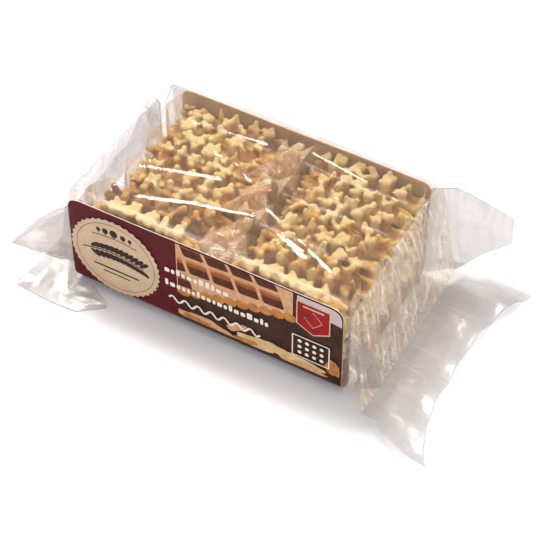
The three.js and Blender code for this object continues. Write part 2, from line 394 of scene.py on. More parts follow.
# The bag's film, place by place: name, tint, haze, gloss and what else differs
# streaks, where given, paint pale glint lines into that film
FILMS = (
    ("clear_film", (0.96, 0.94, 0.92), 0.03, 0.045,
     {"veil": (232, 210, 176), "ends": (0.81, 0.83, 0.86), "index": 1.44}),
    # the back edge's film: a dark tint and strong haze paint a grey-white band of shade and sheen
    ("clear_film_back_painted_band", (0.8, 0.78, 0.77), 0.4, 0.14, {"veil": (228, 220, 216)}),
    ("clear_film_left", (0.88, 0.86, 0.86), 0.1, 0.07, {"veil": (232, 224, 222), "glint_streaks": 0.12}),
    ("clear_film_right", (0.98, 0.96, 0.94), 0.17, 0.07,
     {"veil": (248, 234, 216), "glint_streaks": 0.85, "grain": (0.05, 0.34, 0.07)}),
    ("clear_film_fins", (0.855, 0.85, 0.85), 0.08, 0.34,
     {"veil": (232, 224, 218), "glint_streaks": 0.16}),
    ("clear_film_front", (0.96, 0.94, 0.92), 0.05, 0.6, {"index": 1.4}),
    # dark edge film: painted shade along the film's bends and along the ears' rims
    ("clear_film_shaded_edges", (0.6, 0.58, 0.58), 0.1, 0.1, {"veil": (190, 182, 180)}),
)
bag_skins = [film_material(*look, **more) for *look, more in FILMS]
TOP, BACK_PAINTED_BAND, LEFT, RIGHT, FINS, FRONT, SHADED_EDGES = range(len(FILMS))
# the last number of each ear film is its streaks: painted glint lines
ear_skin = film_material("clear_film_ears", (0.79, 0.78, 0.78), 0.12, 0.09, (226, 220, 218), 0.2)
# the floor ear's film is tinted lighter than the standing ears: painted light against the shade it
# lies in
floor_ear_lightened_skin = film_material("clear_film_low_lightened", (0.92, 0.905, 0.9), 0.1, 0.25, (232, 226, 224), 0.2)
sachet_skin = film_material("sachet_film", (0.985, 0.965, 0.94), 0.02, 0.3, (232, 206, 166),
                            crinkle=0.5, index=1.3)
# the streaks of the sachets' ends and of the gathered film are painted glint lines
end_skin = film_material("sachet_film_ends", (0.96, 0.93, 0.89), 0.22, 0.25, (244, 220, 186),
                         glint_streaks=0.35, crinkle=0.5)
gather_skin = film_material("sachet_film_gathered", (0.95, 0.89, 0.81), 0.13, 0.12, (232, 190, 140),
                            glint_streaks=0.3, crinkle=0.5, grain=(0.6, 0.05, 0.4))
crust_skin = waffle_material()

# Inks of the card: light shade, dark shade, then the patches' scale and the roughness if not usual
INKS = {
    "maroon": ((94, 20, 24), (80, 15, 19)),
    "umber": ((78, 46, 28), (40, 24, 17), 0.12),
    "inside": ((196, 140, 102), (176, 122, 86), 0.2, 0.6),
    "edge": ((228, 214, 204), (208, 192, 182), 0.5, 0.7),
    "cream": ((212, 186, 156), (198, 170, 138), 0.1),
    "offwhite": ((244, 234, 222), (232, 220, 206)),
    "brown": ((58, 36, 28), (44, 28, 22)),
    "wells": ((166, 92, 52), (132, 66, 38), 0.14),
    "deep": ((96, 48, 28), (66, 32, 20), 0.14),
    "ridges": ((222, 176, 134), (194, 140, 98), 0.3),
    "gold": ((206, 144, 76), (160, 98, 48), 0.16),
    "butter": ((230, 202, 150), (196, 158, 104), 0.14),
    "grey": ((206, 192, 188), (190, 176, 172), 0.12),
    "red": ((162, 20, 28), (136, 14, 22), 0.2),
}
inks = {name: printed_material(f"card_{name}", *look) for name, look in INKS.items()}


# The bag's film, by the same sections as its solid, in finer steps and with creases
SIDE_STEPS = 6
CORNER_STEPS = 6
TOP_STEPS = 124
BODY_STATIONS = 126
CLOSING_STATIONS = 30
CRIMP_STATIONS = 24
FIN_STATIONS = 22
CRIMP_PITCH = 1.5
CRIMP_RIDGE = 0.22

# The strips painted dark as shade where the film bends: along the bag's back top edge, and down its
# left shoulder
BACK_CREASE = SIDE_STEPS + 2
LEFT_CREASE = 5

# The height from which faces are the bag's top, and how far along the pack its creases reach
TOP_FROM = 62
CREASE_REACH = 92

# Sharp folds across the top film, each from (x, y) to (x, y) with its height before FOLD_LIFT
TOP_FOLDS = (
    ((-62, -15.5), (-16, -4.5), 0.75),
    ((-52, -35.5), (-17, -25.5), 0.6),
    ((-17, -25.5), (12.5, -18.5), 0.9),
    ((12.5, -18.5), (18.5, -11.5), 1.0),
    ((18.5, -11.5), (43.5, -22), 0.6),
    ((43.5, -22), (67.5, -31.5), 0.8),
    ((-52, 26), (-22, 28), 0.5),
    ((-22, 28), (-6, 30), 0.8),
    ((-6, 30), (8, 46), 0.5),
    ((20, 36), (54, 32), 0.8),
    ((54, 32), (78, 32), 0.5),
    ((-30, 11), (-13, 9), 0.5),
    ((-13, 9), (-1, 2.5), 0.6),
    ((42, 15), (77, 5.5), 0.4),
    ((22, -33), (27, -41), 0.4),
    ((-78, -50), (-58, -22), 0.6),
    ((-74, 30), (-58, -10), 0.5),
    ((84, -44), (70, -10), 0.5),
    ((-1, 2.5), (20, 36), 0.5),
)
FOLD_LIFT = 0.85
FOLD_SPREAD = 1.4

# Broad facets beside some folds, which catch the light as a patch: from, to, height and spread
TOP_FACETS = (
    ((30, -21), (50, -27.5), 0.62, 4.4),
    ((-30, 13), (-12, 2), 0.3, 4.5),
    ((60, 20), (82, 23), 0.3, 4.5),
)


def half_outline(a, h, r):
    """Half a section's points (y, z) from its +Y side over to its -Y side, z never negative"""
    sides = [(a, (h - r) * i / SIDE_STEPS) for i in range(SIDE_STEPS)]
    for i in range(CORNER_STEPS):
        angle = math.pi / 2 * i / CORNER_STEPS
        sides.append((a - r + r * math.cos(angle), h - r + r * math.sin(angle)))
    top = [(mix(a - r, r - a, i / TOP_STEPS), h) for i in range(TOP_STEPS + 1)]
    return np.array(sides + top + [(-y, z) for y, z in reversed(sides)])


def section_ring(place_x, y, half, upper, lower):
    """A ring from its upper and lower outlines, and each point's place in the width"""
    rim = np.concatenate([upper, lower[1:-1][::-1]])
    width = rim[:, 0] / half
    return points_of(place_x(width), y + rim[:, 0], rim[:, 1]), width


def filled_ring(place_x, y, half, low, high, relief):
    """A ring of the filled bag; relief tells how far its top rises at each place in the width"""
    height, centre = (high - low) / 2, (high + low) / 2
    upper = half_outline(half, height, min(BAG_TOP_RADIUS, height * 0.9))
    lower = half_outline(half, height, min(BAG_BOTTOM_RADIUS, height * 0.9))
    rise = relief(upper[:, 0] / half) * (upper[:, 1] / height) ** 2
    upper[:, 1] = centre + upper[:, 1] + rise
    lower[:, 1] = centre - lower[:, 1]
    return section_ring(place_x, y, half, upper, lower)


def body_ring(x):
    """A ring of the filled bag between its shoulders"""
    end = LEFT_END if x < 0 else RIGHT_END
    near_end = smooth(abs(x) / end["shoulder"])
    dip = COLUMN_DIP * math.exp(-((x / COLUMN_DIP_WIDTH) ** 2))

    def place_x(w):
        return x + end["skew"] * near_end * w

    def relief(w):
        return TOP_TILT * w + (TOP_CROWN - dip) * (1 - w**2) * (1 - near_end)
    high = mix(BAG_TOP, end["top"], near_end)
    return filled_ring(place_x, 0, BAG_HALF_DEPTH, BAG_BOTTOM, high, relief)[0]


def closing_ring(end, t):
    """A ring where the bag closes; t runs from its shoulder to the crimped seal"""
    crimp, side = end["crimp"], end["side"]
    arch = math.sin(math.pi * t)
    reach = mix(end["shoulder"], crimp["x"], t**0.8)
    half = mix(BAG_HALF_DEPTH, crimp["half"], t) - END_WAIST * arch
    low = mix(BAG_BOTTOM, crimp["z"] - FIN_THICKNESS / 2, t**2.2)
    high = mix(end["top"], crimp["z"] + FIN_THICKNESS / 2, smooth(t) ** 0.85)

    def place_x(w):
        flare = END_BULGE * arch * (1 - w**2)
        return side * (reach + flare) + end["skew"] * (1 - t) * w

    def relief(w):
        at = points_of(w * half, t * 6, side * 50)
        drift = 2.4 * noise(at, (16, 9, 9), 5)
        pleat = np.cos(TURN * crimp["half"] * w / PLEAT_PITCH + 0.7 * side + drift)
        small = 1.3 * ridged(at, (5.5, 14, 9), 8) ** 2 + 0.9 * ridged(at, (3.2, 9, 9), 12) ** 2
        return TOP_TILT * w * (1 - t) + (PLEAT_HEIGHT * (1 + pleat) + 1.6 * small) * arch**0.8
    ring, across = filled_ring(place_x, crimp["y"] * t, half, low, high, relief)
    at = points_of(across * half, t * 6, ring[:, 2] / 8)
    ring[:, 0] += side * arch * (1.3 * ridged(at, (6, 12, 30), 21) ** 2 - 0.5)
    return ring


def fin_ring(end, t, x=None, ridge=0.0):
    """A ring of the seal or fin; t runs from the seal's outer side to the fin's edge"""
    crimp, fin, side = end["crimp"], end["fin"], end["side"]
    start = crimp["x"] + crimp["width"]
    half = mix(crimp["half"] + 1, fin["half"], t**0.3)
    outline = half_outline(half, FIN_THICKNESS / 2, FIN_THICKNESS / 2.2)

    def middle(w):
        phase = np.sin(math.pi * fin["waves"] * w + 1.3 * side)
        lift = fin["wave"] * (0.5 + 0.5 * phase) * smooth(t) * (0.45 + 0.55 * w**2)
        at = points_of(w * half, 30 * t, side * 40)
        crumple = 1.5 * noise(at, (17, 10, 9), 31) + 0.8 * ridged(at, (8, 6, 9), 33) * (0.3 + t)
        fine = 0.35 * ridged(at, (3.2, 3.6, 9), 35)
        free = min(1, 0.25 + 2 * t)
        height = mix(crimp["z"], fin["z"], smooth(t)) + lift + (crumple + fine) * free
        return np.maximum(height + ridge, FIN_THICKNESS / 2 + FLOOR_CLEARANCE)

    def place_x(w):
        if x is not None:
            return np.full_like(w, side * x)
        ragged = 0.8 * t * noise(points_of(w * half, 5, side * 9), (9, 9, 9), 41)
        return side * (mix(start, fin["x"], t) + fin["tip"] * t * np.abs(w) ** 3 + ragged)
    rise = middle(outline[:, 0] / half)
    upper = np.stack([outline[:, 0], rise + outline[:, 1]], axis=1)
    lower = np.stack([outline[:, 0], rise - outline[:, 1]], axis=1)
    return section_ring(place_x, mix(crimp["y"], fin["y"], t), half, upper, lower)[0]


def end_rings(end):
    """The rings of one end: where the bag closes, the ridged seal and the fin"""
    rings = [closing_ring(end, i / CLOSING_STATIONS) for i in range(1, CLOSING_STATIONS)]
    crimp = end["crimp"]
    for i in range(CRIMP_STATIONS):
        out = crimp["width"] * i / CRIMP_STATIONS
        ridge = CRIMP_RIDGE * math.cos(TURN * out / CRIMP_PITCH)
        rings.append(fin_ring(end, 0, crimp["x"] + out, ridge))
    return rings + [fin_ring(end, i / FIN_STATIONS) for i in range(FIN_STATIONS + 1)]


def beside_line(points, start, end):
    """How far each point lies from a straight run between two places, seen from above"""
    run = np.array(end, float) - np.array(start, float)
    length = np.hypot(*run)
    rel = points[:, :2] - np.array(start, float)
    along = rel @ run / length
    beside = np.abs(rel @ np.array([-run[1], run[0]]) / length)
    beyond = np.maximum(0, np.maximum(-along, along - length))
    return np.hypot(beside, beyond)


def press_creases(points):
    """Lifts the top film along its folds and facets, and crinkles it a little"""
    on_top = ramped(points[:, 2], TOP_FROM, TOP_FROM + 8)
    inside = ramped(np.abs(points[:, 0]), CREASE_REACH, CREASE_REACH - 14)
    lift = np.zeros(len(points))
    folds = [(start, end, FOLD_LIFT * height, FOLD_SPREAD) for start, end, height in TOP_FOLDS]
    for start, end, height, spread in (*folds, *TOP_FACETS):
        lift += height * np.clip(1 - beside_line(points, start, end) / spread, 0, 1)
    rows = np.cos(TURN * points[:, 1] / ROW_PITCH)
    sag = 0.2 * rows + 0.35 * noise(points, (34, 26, 50), 51)
    crinkle = 0.12 * ridged(points, (20, 7, 60), 53) + 0.1 * ridged(points, (9, 4, 60), 55) ** 4
    points[:, 2] += on_top * (lift + inside * (sag + crinkle))


def closed_loft(rings):
    """Points and faces of a loft, each end closed by a strip between its two layers"""
    size = len(rings[0])
    faces = grid_faces(len(rings), size, wrap=True)
    for base, flip in ((0, True), ((len(rings) - 1) * size, False)):
        for j in range(size // 2):
            face = [base + j, base + j + 1, base + size - j - 1, base + (size - j) % size]
            face = list(dict.fromkeys(face))
            faces.append(face[::-1] if flip else face)
    return np.concatenate(rings), faces


# The ears: flat doubled film that stands out of the bag's corners, by outlines of (reach, height)
EARS = (
    {"low": [(-3, 6), (14, 10), (26, 22), (44, 35)],
     "high": [(-3, 74), (11, 75), (27, 66), (44, 52)],
     "foot": (91, 48, 0), "turn": 28 * DEG, "bow": 2},
    {"low": [(-3, 8), (10, 10), (20, 19)], "high": [(-3, 60), (8, 48), (20, 28)],
     "foot": (89, -48, 0), "turn": -6 * DEG, "bow": 1},
    {"low": [(-3, 10), (14, 14), (30, 18), (40, 24)],
     "high": [(-3, 64), (14, 52), (26, 42), (40, 24.5)],
     "foot": (-83, -48, 0), "turn": 200 * DEG, "bow": -2},
    {"low": [(-3, 9), (10, 13), (34, 17)], "high": [(-3, 61), (4, 59), (14, 52), (34, 36)],
     "foot": (-88, 46, 0), "turn": 142 * DEG, "bow": 2},
)
FLOOR_EAR_FRONT = [(-59, -62, 0), (-73, -73, 0), (-90, -74, 0), (-114, -72, 0)]
FLOOR_EAR_BACK = [(-59, -61, 0), (-72, -54, 0), (-87, -53, 1), (-88, -40, 5), (-104, -40, 14),
                  (-106, -56, 8), (-114, -71, 0)]
EAR_STEPS = 26
EAR_FACES = (EAR_STEPS - 1) ** 2


def ear_sheet(ear, seed):
    """A standing ear between its lower and upper outlines, crumpled more toward its free edge"""
    low, high = np.array(ear["low"], float), np.array(ear["high"], float)
    reach = low[-1, 0]
    u = np.linspace(low[0, 0], reach, EAR_STEPS)[:, None]
    share = np.linspace(0, 1, EAR_STEPS)[None, :]
    v = mix(np.interp(u, *low.T), np.interp(u, *high.T), share)
    flat = points_of(u, v, 7 * seed).reshape(-1, 3)
    crumple = 1.3 * noise(flat, (15, 18, 9), 60 + seed) + 0.8 * ridged(flat, (9, 7, 9), 70 + seed)
    fine = 0.3 * ridged(flat, (3, 3.5, 9), 80 + seed)
    free = ramped(u, low[0, 0], 9)
    side = ear["bow"] * (u / reach) ** 2 + (crumple + fine - 0.5).reshape(v.shape) * free
    out = np.array([math.cos(ear["turn"]), math.sin(ear["turn"]), 0])
    normal = np.array([math.sin(ear["turn"]), -math.cos(ear["turn"]), 0])
    middle = np.array(ear["foot"], float) + u[..., None] * out + side[..., None] * normal
    middle[..., 2] = v
    return doubled_sheet(middle, normal)


def floor_ear_sheet():
    """The ear that lies on the floor at the front left"""
    front, back = np.array(FLOOR_EAR_FRONT, float), np.array(FLOOR_EAR_BACK, float)
    x = np.linspace(front[0, 0], front[-1, 0], EAR_STEPS)[:, None]
    share = np.linspace(0, 1, EAR_STEPS)[None, :]

    def edge(line, axis):
        return np.interp(-x, -line[:, 0], line[:, axis])
    y = mix(edge(front, 1), edge(back, 1), share)
    flat = points_of(x, y, 0).reshape(-1, 3)
    crumple = 1.2 + 1.2 * noise(flat, (13, 9, 9), 91) + 0.8 * ridged(flat, (6, 6, 9), 93)
    z = FLOOR_CLEARANCE + FIN_THICKNESS / 2 + edge(back, 2) * share**1.5
    z = z + np.clip(crumple, 0, 4).reshape(y.shape) * np.clip(share * 4, 0, 1)
    return doubled_sheet(points_of(x, y, z), UP)


def film_bag():
    """The whole bag, its faces sorted by the film's look at each place"""
    left_rings = end_rings(LEFT_END)[::-1]
    body = [body_ring(mix(-LEFT_END["shoulder"], RIGHT_END["shoulder"], i / BODY_STATIONS))
            for i in range(BODY_STATIONS + 1)]
    points, faces = closed_loft(left_rings + body + end_rings(RIGHT_END))
    press_creases(points)
    x, y, z = points[[face[0] for face in faces]].T
    slots = np.full(len(faces), TOP, np.int32)
    # faces over the back top edge take the painted grey-white band
    slots[(y > BAG_HALF_DEPTH - BAG_TOP_RADIUS) & (z > CARD_BACK - 2)] = BACK_PAINTED_BAND
    slots[(y < BAG_TOP_RADIUS - BAG_HALF_DEPTH + 0.8) & (z > TOP_FROM)] = FRONT
    slots[x < -LEFT_END["shoulder"] - 1] = LEFT
    slots[x > RIGHT_END["shoulder"] + 1] = RIGHT
    slots[(x < -LEFT_END["crimp"]["x"]) | (x > RIGHT_END["crimp"]["x"])] = FINS
    ring, place = np.divmod(np.arange(len(faces)), len(body[0]))
    # the bend strips take the dark film: painted shade
    slots[(place == BACK_CREASE) & (np.abs(x) < CREASE_REACH) & (y > 40)] = SHADED_EDGES
    slots[(ring == len(left_rings) - LEFT_CREASE) & (z > 40)] = SHADED_EDGES
    return make_piece("film_bag_clear", points, faces, bag_skins, slots)


def film_ears():
    sheets = [ear_sheet(ear, seed) for seed, ear in enumerate(EARS)] + [floor_ear_sheet()]
    points, faces = join_parts(sheets)
    rim_faces = len(sheets[0][1]) - 2 * EAR_FACES
    slots = ([0] * 2 * EAR_FACES + [1] * rim_faces) * len(EARS)
    # the floor ear takes the lightened film
    slots += [2] * 2 * EAR_FACES + [1] * rim_faces
    # the ears' rims take the dark edge film: painted shade
    skins = [ear_skin, bag_skins[SHADED_EDGES], floor_ear_lightened_skin]
    return make_piece("film_ears_clear", points, faces, skins, slots)


# Waffles: bars and knobs on both sides of a thin web, fused and then made uneven
TUBE_SIDES = 8
VOXEL = 1.02
WEB_STEPS = 72
WEB_THICKNESS = 4.2
WEB_INSETS = (5.0, 5.5)
BAR_INSET = 5.0
BAR_DEPTH = 2.7
BAR_STATIONS = 9
# How far from the rim the last ridge along and across the waffle may lie
LAST_BAR_ALONG, LAST_BAR_ACROSS = 6.5, 10.0


def chord(offset, across, along):
    """Half the length of a line across the waffle, offset from its middle"""
    left = max(0.0, 1 - (abs(offset) / across) ** WAFFLE_SQUARENESS)
    return along * left ** (1 / WAFFLE_SQUARENESS)


def web_plate(draw):
    """The thin closed web between the two sides, squarish and uneven round its rim"""
    a, b = WAFFLE_HALF_WIDTH - WEB_INSETS[0], WAFFLE_HALF_HEIGHT - WEB_INSETS[1]
    turns = np.linspace(0, TURN, WEB_STEPS, endpoint=False)
    uneven = 1 + 0.03 * np.sin(11 * turns + draw.uniform(0, 6))
    uneven = uneven + 0.03 * np.sin(17 * turns + draw.uniform(0, 6))
    c, s, power = np.cos(turns), np.sin(turns), WAFFLE_SQUARENESS
    rings = []
    for scale, y in ((0.96, -1.0), (1.0, -0.5), (1.0, 0.5), (0.96, 1.0)):
        across, up = np.abs(c / (a * scale)), np.abs(s / (b * scale))
        radius = (across**power + up**power) ** (-1 / power)
        rings.append(points_of(radius * c * uneven, y * WEB_THICKNESS / 2, radius * s * uneven))
    return capped_loft(rings)


def bar_tube(path, radii):
    """A closed round bar along a path of points, with a radius at each"""
    turns = np.linspace(0, TURN, TUBE_SIDES, endpoint=False)
    run = path[-1] - path[0]
    run = run / np.linalg.norm(run)
    side = np.cross(run, [0, 1, 0])
    side /= np.linalg.norm(side)
    up = np.cross(side, run)
    circle = np.outer(np.cos(turns), side) + np.outer(np.sin(turns), up)
    return capped_loft([p + circle * r for p, r in zip(path, radii)])


def knob(centre, radius):
    """A small eight-sided ball"""
    path = np.array([centre + np.array([0, 0, radius * s]) for s in (-0.95, -0.6, 0, 0.6, 0.95)])
    return bar_tube(path, radius * np.array([0.3, 0.8, 1.0, 0.8, 0.3]))


def splayed_end(draw, tip, inward):
    """One to four tapered arms where a ridge runs out over the rim; inward points to the middle"""
    side = np.array([-inward[2], 0.0, inward[0]])
    parts = []
    count = (1, 2, 3, 3, 4)[draw.integers(0, 5)]
    first = draw.uniform(0, TURN)
    for arm in range(count):
        turn = first + TURN * arm / count + draw.uniform(-0.4, 0.4)
        lean = draw.uniform(0.55, 1.15) if count > 1 else 0.3
        aim = -inward + lean * (math.cos(turn) * side + np.array([0, 0.75 * math.sin(turn), 0]))
        aim /= np.linalg.norm(aim)
        reach = draw.uniform(3.0, 5.6)
        size = draw.uniform(1.9, 2.5)
        path = np.array([tip + inward * 3, tip, tip + aim * reach * 0.6, tip + aim * reach])
        parts.append(bar_tube(path, size * np.array([1.1, 1.1, 0.9, 0.66])))
        parts.append(knob(tip + aim * reach, size * draw.uniform(0.66, 0.95)))
    return parts


def ridge_bars(draw, lengthwise):
    """The ridges of both faces in one direction, with the arms where they end at the rim"""
    across, along, inward, edge = WAFFLE_HALF_WIDTH, WAFFLE_HALF_HEIGHT, UP, LAST_BAR_ALONG
    if not lengthwise:
        across, along, inward, edge = along, across, UP[::-1], LAST_BAR_ACROSS
    count = int(across // RIDGE_PITCH)
    shift = draw.uniform(-0.3, 0.3) * RIDGE_PITCH
    parts = []
    for k in range(-count - 1, count + 2):
        for face in (-1, 1):
            offset = k * RIDGE_PITCH + shift + draw.uniform(-1.0, 1.0) + 1.2 * face
            if abs(offset) > across - edge:
                continue
            half = chord(offset, across, along) - BAR_INSET
            lean = draw.uniform(-1.6, 1.6)
            ends = half + draw.uniform(-1.5, 1.2, 2)
            spans = np.linspace(-ends[0], ends[1], BAR_STATIONS)
            depth = face * (WAFFLE_THICKNESS / 2 - BAR_DEPTH)
            depth = depth * (1 - 0.2 * np.abs(spans / half) ** 6)
            size = draw.uniform(2.3, 2.9)
            radii = size * (1 + draw.uniform(-0.12, 0.12, len(spans)))
            place = points_of(offset + lean * spans / half, depth, spans)
            if not lengthwise:
                place = place[:, ::-1]
            parts.append(bar_tube(place, radii))
            parts += splayed_end(draw, place[0], inward)
            parts += splayed_end(draw, place[-1], -inward)
    return parts


def scalloped_rim(draw, pitch, size):
    """A row of round lobes side by side along the upper rim, on the face that looks to the front"""
    reach = WAFFLE_HALF_WIDTH - 3.5
    count = int(2 * reach / pitch)
    path = []
    parts = []
    for k in range(count + 1):
        x = mix(-reach, reach, k / count) + draw.uniform(-0.5, 0.5)
        z = chord(x, WAFFLE_HALF_WIDTH, WAFFLE_HALF_HEIGHT) - size + draw.uniform(-1.4, 1.0)
        y = size - WAFFLE_THICKNESS / 2 + draw.uniform(0.3, 1.8)
        parts.append(knob(np.array([x, y, z]), size * draw.uniform(0.85, 1.15)))
        path.append((x, y + 1.8, z - 1.5 * size))
    parts.append(bar_tube(np.array(path), np.full(len(path), 0.55 * size)))
    return parts


def fused(points, faces, voxel):
    """One skin round many overlapping closed shells: its points, normals and faces"""
    mesh = bpy.data.meshes.new("shells")
    mesh.from_pydata(points.tolist(), [], faces)
    holder = add_object("shells", mesh)
    remesh = holder.modifiers.new("fuse", "REMESH")
    remesh.mode = "VOXEL"
    remesh.voxel_size = voxel
    relax = holder.modifiers.new("relax", "SMOOTH")
    relax.factor = 0.5
    relax.iterations = 2
    evaluated = holder.evaluated_get(bpy.context.evaluated_depsgraph_get())
    skin = evaluated.to_mesh()

    def read(items, key, width=1, kind=float):
        values = np.empty(len(items) * width, kind)
        items.foreach_get(key, values)
        return values
    places = read(skin.vertices, "co", 3).reshape(-1, 3)
    normals = read(skin.vertices, "normal", 3).reshape(-1, 3)
    loops = read(skin.loops, "vertex_index", kind=np.int32)
    starts = read(skin.polygons, "loop_start", kind=np.int32)
    new_faces = [part.tolist() for part in np.split(loops, starts[1:])]
    evaluated.to_mesh_clear()
    bpy.data.objects.remove(holder)
    bpy.data.meshes.remove(mesh)
    return places, normals, new_faces


def waffle(seed, done, lobes=None):
    """One waffle about its own centre: points, faces and each point's browning, with painted shade
    in its low parts
    """
    draw = np.random.default_rng(seed)
    parts = [web_plate(draw)] + ridge_bars(draw, True) + ridge_bars(draw, False)
    if lobes:
        parts += scalloped_rim(draw, *lobes)
    points, normals, faces = fused(*join_parts(parts), VOXEL * (1.0))
    shift = points + 200 * seed
    lumps = 0.6 * noise(shift, 6.0, 3) + 0.4 * noise(shift, 3.0, 4)
    x, y, z = (points + normals * lumps[:, None]).T
    bend = 1.2 * np.sin(x / 30 + seed) * draw.uniform(-1, 1)
    height = np.abs(y) / (WAFFLE_THICKNESS / 2)
    rim = np.maximum(np.abs(x) / WAFFLE_HALF_WIDTH, np.abs(z) / WAFFLE_HALF_HEIGHT)
    # darker near the web, between the ridges: real browning plus painted shade in these recesses;
    # also darker away from the rim
    low = 1 - np.clip((height - 0.25) / 0.6, 0, 1)
    inner = np.clip((0.97 - rim) / 0.2, 0, 1)
    stem = np.clip((0.93 - rim) / 0.08, 0, 1)
    toast_and_shade = -0.16 + 0.5 * low * (0.12 + 0.88 * stem) + 0.14 * inner + done
    toast_and_shade += 0.14 * noise(shift, 9.0, 7)
    return points_of(x, y + bend, z), faces, toast_and_shade


# How done each row's front and back waffles are, column by column
DONENESS = (
    ((-0.06, 0.46), (-0.04, 0.1)),
    ((0.02, 0.0), (-0.02, 0.02)),
    ((0.04, -0.02), (0.0, -0.03)),
    ((0.0, 0.03), (-0.02, 0.0)),
)
# The pitch and size of the lobes on the front waffle of each column
FRONT_LOBES = ((5.6, 2.8), (8.2, 3.7))
ROW_SHIFTS = ((-4.0, -0.5), (2.5, 0.5), (0.5, 0.5), (-1.0, 0.0))
# How far the waffles keep inside the film at its top and at its front and back
TOP_ROOM = 1.6
SIDE_ROOM = 0.9
FIRST_ROW_GAP = 0.4


def row_middle(row):
    return -BAG_HALF_DEPTH + FIRST_ROW_GAP + ROW_PITCH * (row + 0.5)


def waffle_row(row):
    """The four waffles of one row, set into the bag and kept under its film"""
    parts, toast_and_shade_values = [], []
    for column, centre in enumerate(COLUMN_CENTRES):
        for pair in range(2):
            seed = 100 + row * 10 + column * 4 + pair
            draw = np.random.default_rng(seed + 500)
            lobes = FRONT_LOBES[column] if (row, pair) == (0, 0) else None
            points, faces, toast_and_shade = waffle(seed, DONENESS[row][column][pair], lobes)
            x, y, z = points.T
            angle = draw.uniform(-2.0, 2.0) * DEG
            c, s = math.cos(angle), math.sin(angle)
            x, z = x * c - z * s, x * s + z * c
            y = y + draw.uniform(-0.012, 0.012) * z
            lift = SHELF - z.min() + draw.uniform(0, 0.8)
            x = x + (centre + ROW_SHIFTS[row][column] + draw.uniform(-1, 1))
            y = y + (row_middle(row) + (pair - 0.5) * WAFFLE_THICKNESS)
            ceiling = BAG_TOP + TOP_TILT * y / BAG_HALF_DEPTH - TOP_ROOM
            ceiling -= 3.0 * np.clip((-y - BAG_HALF_DEPTH + 4) / 4, 0, 1) ** 2
            reach = BAG_HALF_DEPTH - SIDE_ROOM
            placed = points_of(x, np.clip(y, -reach, reach), np.minimum(z + lift, ceiling))
            parts.append((placed, faces))
            toast_and_shade_values.append(toast_and_shade)
    points, faces = join_parts(parts)
    toast_and_shade = np.concatenate(toast_and_shade_values)
    return make_piece(f"waffles_row_{row + 1}", points, faces, [crust_skin], values=toast_and_shade)


# Sachets: a thin clear bag round each pair, flattened to an upright crimped seal at both ends
SACHET_HALF_DEPTH = 12.2
SACHET_BODY = 37.5
SACHET_TOP = 71.6
SACHET_STATIONS = 52
SACHET_ROUND = 96
SACHET_POWER = 7.0
SACHET_ROOM = 0.7
INNER_SEAL, INNER_FIN = 41.5, 13.0
OUTER_SEAL, OUTER_FIN = 39.5, 2.0
SEAL_PITCH = 1.5
SEAL_RIDGE = 0.16


def sachet(row, column):
    """One sachet; its inner fin reaches into the gap between the columns, its outer one is short"""
    draw = np.random.default_rng(900 + row * 2 + column)
    inner = 1 if column == 0 else -1
    top = SACHET_TOP + 0.9 * row
    low = BAG_BOTTOM + 0.5
    angle = np.linspace(0, TURN, SACHET_ROUND, endpoint=False)
    unit_y, unit_z = (np.sign(part) * np.abs(part) ** (2 / SACHET_POWER)
                      for part in (np.cos(angle), np.sin(angle)))
    # each end's seal, the length of its fin and the fin's curl
    ends = {inner: (INNER_SEAL, INNER_FIN, -inner * draw.uniform(3.0, 6.0)),
            -inner: (OUTER_SEAL, OUTER_FIN, draw.uniform(-3, 3))}
    stations = np.linspace(-sum(ends[-1][:2]), sum(ends[1][:2]), SACHET_STATIONS + 1)
    rings = []
    for x in stations:
        seal, fin_length, curl = ends[1 if x > 0 else -1]
        out = abs(x)
        shut = smooth(ramped(out, SACHET_BODY - 5, seal))
        fin = ramped(out, seal, seal + fin_length)
        depth = mix(SACHET_HALF_DEPTH, 0.2, shut)
        tall = (top - low) / 2 * (1 - 0.06 * shut - 0.08 * fin)
        slack = SEAL_RIDGE * math.cos(TURN * out / SEAL_PITCH) * (fin > 0)
        y = unit_y * depth + curl * fin**1.4 + slack
        rings.append(points_of(x, y, (top + low) / 2 + unit_z * tall))
    points, faces = capped_loft(rings)
    at = points + np.array([0, 60 * row, 300 * column])
    outward = np.tile(np.where(unit_y >= 0, 1.0, -1.0), len(rings))
    x, y, z = points.T
    out = np.abs(x)
    free = np.clip((out - 20) / 24, 0.2, 1)
    flat = np.clip((out - SACHET_BODY - 2) / 3, 0, 1)
    puff = 1.0 * noise(at, (14, 9, 17), 71) + 0.9 * ridged(at, (8, 6, 22), 73) - 0.8
    crumple = 1.4 * noise(at * np.array([1, 0, 1]), (6, 9, 26), 77)
    y = y + (outward * puff * free * 0.7 * (1 - flat) + crumple * flat)
    upper = np.clip((z - top + 10) / 10, 0, 1)
    z = z + upper * (1.1 * ridged(at, (13, 6, 40), 75) - 1.1)
    x = x + (COLUMN_CENTRES[column] + ROW_SHIFTS[row][column])
    reach = BAG_HALF_DEPTH - SACHET_ROOM
    y = np.clip(y + row_middle(row), -reach, reach)
    left, right = (end["side"] * end["shoulder"] + end["skew"] * (y / BAG_HALF_DEPTH)
                   for end in (LEFT_END, RIGHT_END))
    drawn = (np.abs(stations[:-1]) > SACHET_BODY - 3).astype(int)
    slots = np.repeat(drawn, SACHET_ROUND).tolist() + [0, 0]
    return points_of(np.clip(x, left + 0.5, right - 0.5), y, z), faces, slots


def sachets():
    parts = [sachet(row, column) for row in range(ROWS) for column in range(2)]
    points, faces = join_parts([part[:2] for part in parts])
    slots = [slot for part in parts for slot in part[2]]
    return make_piece("sachets_clear", points, faces, [sachet_skin, end_skin], slots)


